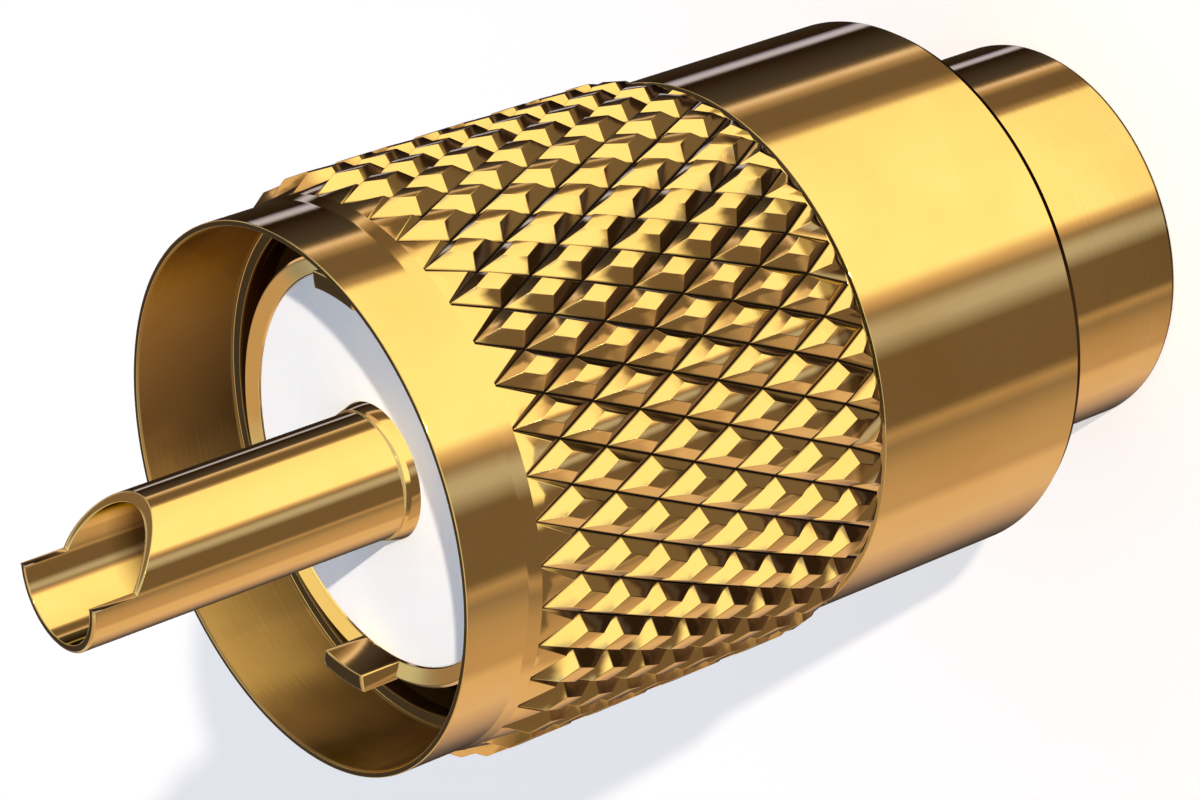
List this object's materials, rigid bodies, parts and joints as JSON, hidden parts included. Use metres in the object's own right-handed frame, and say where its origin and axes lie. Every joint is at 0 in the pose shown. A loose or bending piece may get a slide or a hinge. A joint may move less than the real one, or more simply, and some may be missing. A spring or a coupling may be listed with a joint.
{
  "type": "uhf connector",
  "caption": "UHF coaxial cable plug with a knurled coupling ring that turns and slides, a white insulator and a hollow contact pin with a half-open solder tip.",
  "frame": {"origin": "centre of the barrel's rear end face, which the plug stands on", "axes": "+Z along the plug's axis from the cable end to the pin's tip, X and Y across it"},
  "size_m": [0.0182, 0.0182, 0.0382],
  "materials": {
    "ring_gold": "polished gold plate",
    "body_gold": "polished gold plate",
    "pin_gold": "polished gold plate",
    "nut_gold": "gold plate",
    "washer_brass": "stamped brass",
    "ferrule_brass": "turned brass",
    "insulator_white": "turned white PTFE",
    "gasket_rubber": "moulded"
  },
  "bodies": {
    "plug": {"plug_body": "body_gold", "front_insulator": "insulator_white", "rear_insulator": "insulator_white", "centre_pin": "pin_gold", "gland_nut": "nut_gold", "gland_washer": "washer_brass", "cable_gasket": "gasket_rubber", "braid_ferrule": "ferrule_brass"},
    "washer": {"thrust_washer": "washer_brass"},
    "ring": {"coupling_ring": "ring_gold"}
  },
  "joints": [
    {"name": "ring_slide", "type": "slide", "parent": "plug", "child": "washer", "axis": [0, 0, 1], "range_m": [0, 0.0054]},
    {"name": "ring_spin", "type": "hinge", "parent": "washer", "child": "ring", "pos_m": [0, 0, 0.018], "axis": [0, 0, 1], "continuous": true}
  ]
}
